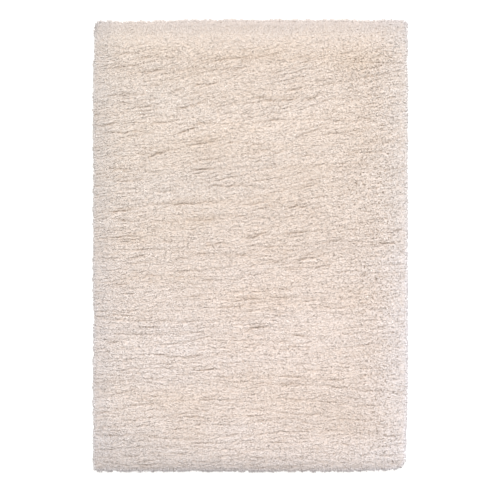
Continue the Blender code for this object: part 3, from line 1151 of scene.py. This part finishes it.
def make_yarn():
    """Grey, cream or peach by the patches' warmth, times the patches' tone and painted light and
    shade, the tufts' own tone, painted shade at roots, in creases, in gaps, towards the border and
    ends and on the left, and a tint from far to near.
    """
    material, tree, shader = new_material("cream_yarn")
    ramp = add_node(tree, "ValToRGB", {"Fac": number(tree, "warm")})
    ramp.color_ramp.elements[0].color = GREYED
    ramp.color_ramp.elements[1].color = PEACH
    ramp.color_ramp.elements.new(0.5).color = CREAM
    colour = ramp.outputs["Color"]
    spots = soft_spots(tree, GAP_SCALE, GAP_STRETCH, 0.605, 0.68)
    for factor, start, end in (
        (number(tree, "light"), DIM_TONE_AND_SHADE, BRIGHT_TONE_AND_LIGHT),
        (number(tree, "tone"), TONE_SHADE, WHITE),
        (number(tree, "up_the_tuft"), ROOT_PAINTED_SHADE, WHITE),
        (number(tree, "sunk"), WHITE, CREASE_PAINTED_SHADE),
        (product(tree, spots, number(tree, "painted_gap_shade")), WHITE, GAP_PAINTED_SHADE),
        (number(tree, "edge"), WHITE, EDGE_PAINTED_SHADE),
        (number(tree, "combed"), WHITE, END_PAINTED_SHADE),
        (along_axis(tree, "Y", 0.55, -0.55), FAR_SHADE, NEAR_SHADE),
        (along_axis(tree, "X", -0.80, 0.20), LEFT_PAINTED_SHADE, WHITE),
    ):
        shade = blend_colours(tree, factor, start, end)
        colour = blend_colours(tree, 1.0, colour, shade, "MULTIPLY")
    tree.links.new(colour, shader.inputs["Base Color"])
    look = {"Vector": place_on_rug(tree), "Scale": FIBRE_SCALE, "Detail": 3.0}
    fibres = add_node(tree, "TexNoise", look)
    add_relief(tree, shader, fibres.outputs["Fac"], FIBRE_RELIEF, 1.0)
    shader.inputs["Roughness"].default_value = 0.92
    shader.inputs["Specular IOR Level"].default_value = 0.25
    shader.inputs["Sheen Weight"].default_value = 0.12
    shader.inputs["Sheen Roughness"].default_value = 0.5
    return material


yarn = make_yarn()
print(f"{yarn.name}: {len(yarn.node_tree.nodes)} nodes")

# %% [markdown]
# ## Make the pile
#
# A piece stays under 200,000 triangles, so the pile is cut into bands that run the rug's full
# length, side by side, each with the same number of tufts.

# %% Body and pile bands
BANDS = 4


def add_piece(name, mesh, material):
    """A finished piece: at the origin, with its material and slot, moving with the rug."""
    piece = bpy.data.objects.new(name, mesh)
    mesh.materials.append(material)
    bpy.context.scene.collection.objects.link(piece)
    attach(piece, "root")
    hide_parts(RUG_NODE)
    triangles = sum(len(face.vertices) - 2 for face in mesh.polygons)
    print(f"{name}: {triangles} triangles")
    return piece


def even_tones(roots):
    """A tone for every tuft, so that light and dark ones mix evenly, without clusters.

    The tufts' places in a fine grid of columns i and rows j give a share, the fraction left of
    0.755 i + 0.570 j. With 1 - (1 - share)^5 most tones are light and few are dark. A random
    part loosens the order.
    """
    i, j = np.floor(roots[:, 0] / TUFT_PITCH), np.floor(roots[:, 1] / TUFT_PITCH)
    share = (0.755 * i + 0.570 * j) % 1.0
    darker = 0.8 * (1 - share) ** 5 + 0.08 * np.abs(rng.normal(size=len(roots)))
    return np.clip(1 - darker * (1 - 0.6 * combed(roots[:, 1])), 0, 1)


def make_pile():
    """Field and skirt together, sorted into bands by where the tufts start across the rug."""
    tufts = Tufts(*(np.vstack(parts) for parts in zip(field, *skirt)))
    count = len(tufts.root)
    points = tuft_points(tufts)
    tone = even_tones(tufts.root)
    crease_shade_share = np.zeros((count, 3))
    crease_shade_share[: len(field_sunk)] = np.clip(field_sunk / CREASE_SHADE_FULL, 0, 1)
    edges = np.quantile(tufts.root[:, 0], np.linspace(0, 1, BANDS + 1)[1:-1])
    band_of = np.searchsorted(edges, tufts.root[:, 0])
    made = []
    for band in range(BANDS):
        chosen = band_of == band
        mesh = tuft_mesh(f"pile_band_{band + 1}", points[chosen], tone[chosen], crease_shade_share[chosen])
        made.append(add_piece(mesh.name, mesh, yarn))
    return made


body = [add_piece(half.name, half, yarn) for half in halves]
pile = make_pile()

# %% [markdown]
# ## The backing
#
# Under it all lies the backing: a coarse beige woven sheet, 3 mm thick, with its edge turned
# under. It is the one sheet of cloth here, and its flat size is the rug's less the pile that
# hangs over.

# %% Backing material and sheet
BACKING_INSET = 0.017         # the pile hangs out this far over its edge
BACKING_TOP = 0.0042
HEM_WIDTH = 0.030
HEM_DROP = 0.0012             # the hem is this much thicker than the rest
HEM_ROUND = 0.0012            # radius of the fold
BEIGE_DARK = (0.60, 0.50, 0.38, 1.0)
BEIGE_LIGHT = (0.68, 0.58, 0.45, 1.0)
BETWEEN_THREADS = (0.62, 0.60, 0.58, 1.0)


def make_backing_cloth():
    """Plain weave: two sets of bands crossed, in beige, with the threads as bump."""
    material, tree, shader = new_material("woven_backing")
    look = {"Vector": place_on_rug(tree), "Scale": 75.0, "Distortion": 1.2, "Detail": 1.0}
    bands = [add_node(tree, "TexWave", look, bands_direction=direction).outputs["Fac"]
             for direction in ("X", "Y")]
    weave = product(tree, *bands)
    spots = soft_spots(tree, 9.0, (1, 1, 1), 0.3, 0.7)
    colour = blend_colours(tree, spots, BEIGE_DARK, BEIGE_LIGHT)
    threads = blend_colours(tree, weave, BETWEEN_THREADS, WHITE)
    colour = blend_colours(tree, 1.0, colour, threads, "MULTIPLY")
    tree.links.new(colour, shader.inputs["Base Color"])
    add_relief(tree, shader, weave, 0.0008, 0.7)
    shader.inputs["Roughness"].default_value = 0.9
    return material


def ring_surface(name, outline, rings):
    """A closed body of rings. Each row of `rings` is a scale for x and y, and a height.

    The first and last rings are closed by a point in their middle.
    """
    around = len(outline)
    layers = [np.column_stack((outline * scale, np.full(around, z))) for scale, z in rings]
    ends = np.array([layers[0].mean(0), layers[-1].mean(0)])
    points = np.vstack((*layers, ends))
    k = np.arange(around)
    after = (k + 1) % around
    low = np.arange(len(rings) - 1)[:, None] * around
    quads = np.stack((low + k, low + after, low + around + after, low + around + k), axis=-1)
    top = (len(rings) - 1) * around
    caps = np.vstack((
        np.column_stack((np.full(around, len(points) - 2), after, k)),
        np.column_stack((top + k, top + after, np.full(around, len(points) - 1))),
    ))
    return array_mesh(name, points, quads.reshape(-1, 4), caps)


def inset_scale(inset):
    """Scale for x and y that draws the outline in by `inset`, from the backing's own edge."""
    inset += BACKING_INSET
    return np.array((1 - inset / HALF_WIDTH, 1 - inset / HALF_LENGTH))


backing_rings = [(inset_scale(inset), height) for inset, height in (
    (HEM_WIDTH + 0.2, HEM_DROP),
    (HEM_WIDTH + 0.002, HEM_DROP),
    (HEM_WIDTH, 0.0),
    (HEM_ROUND, 0.0),
    (0.0, 0.0010),
    (0.0, 0.0030),
    (HEM_ROUND, BACKING_TOP),
    (0.3, BACKING_TOP),
)]
backing_mesh = ring_surface("backing", along_ring(OUTLINE, 240), backing_rings)
backing = add_piece("backing", backing_mesh, make_backing_cloth())

# %% [markdown]
# ## Floor and light
#
# The floor is plain and almost white. One big soft light stands high at the far right, so the
# near and left sides of the rug fall off into a light grey, and an even, faintly warm sky fills
# the shadows.

# %% Floor, key light and sky
FLOOR_SIZE = 60.0
FLOOR_DROP = 0.0004           # the floor lies this far under the backing
FLOOR_COLOUR = (0.93, 0.93, 0.93, 1.0)
FLOOR_GLOW = 0.45             # keeps the floor white to the horizon
KEY_COLOUR = (1.0, 0.995, 0.985)
KEY_STRENGTH = 2.60
KEY_SPREAD = 16.0             # degrees across, which makes its shadows soft
KEY_TILT = 44.0               # degrees from straight above
KEY_TURN = 14.0               # degrees to the right of the far end
SKY = (1.0, 0.98, 0.93, 1.0)
SKY_STRENGTH = 0.923


def make_floor():
    material, _, shader = new_material("pale_floor")
    shader.inputs["Base Color"].default_value = FLOOR_COLOUR
    shader.inputs["Roughness"].default_value = 1.0
    shader.inputs["Emission Color"].default_value = WHITE
    shader.inputs["Emission Strength"].default_value = FLOOR_GLOW
    half = FLOOR_SIZE / 2
    mesh = bpy.data.meshes.new("floor")
    corners = [(x * half, y * half, -FLOOR_DROP) for x, y in ((-1, -1), (1, -1), (1, 1), (-1, 1))]
    mesh.from_pydata(corners, [], [(0, 1, 2, 3)])
    mesh.materials.append(material)
    floor = bpy.data.objects.new("floor", mesh)
    bpy.context.scene.collection.objects.link(floor)


def make_lights():
    """The key shines along -Z of its object: tilted from straight down, then turned."""
    data = bpy.data.lights.new("key", "SUN")
    data.energy = KEY_STRENGTH
    data.angle = math.radians(KEY_SPREAD)
    data.color = KEY_COLOUR
    key = bpy.data.objects.new("key", data)
    key.rotation_euler = (-math.radians(KEY_TILT), 0.0, -math.radians(KEY_TURN))
    bpy.context.scene.collection.objects.link(key)
    world = bpy.data.worlds.new("sky")
    world.use_nodes = True
    background = world.node_tree.nodes["Background"]
    background.inputs["Color"].default_value = SKY
    background.inputs["Strength"].default_value = SKY_STRENGTH
    bpy.context.scene.world = world


make_floor()
make_lights()
bpy.context.scene.view_settings.view_transform = "Standard"
print(f"key light {KEY_STRENGTH} and sky {SKY_STRENGTH}")
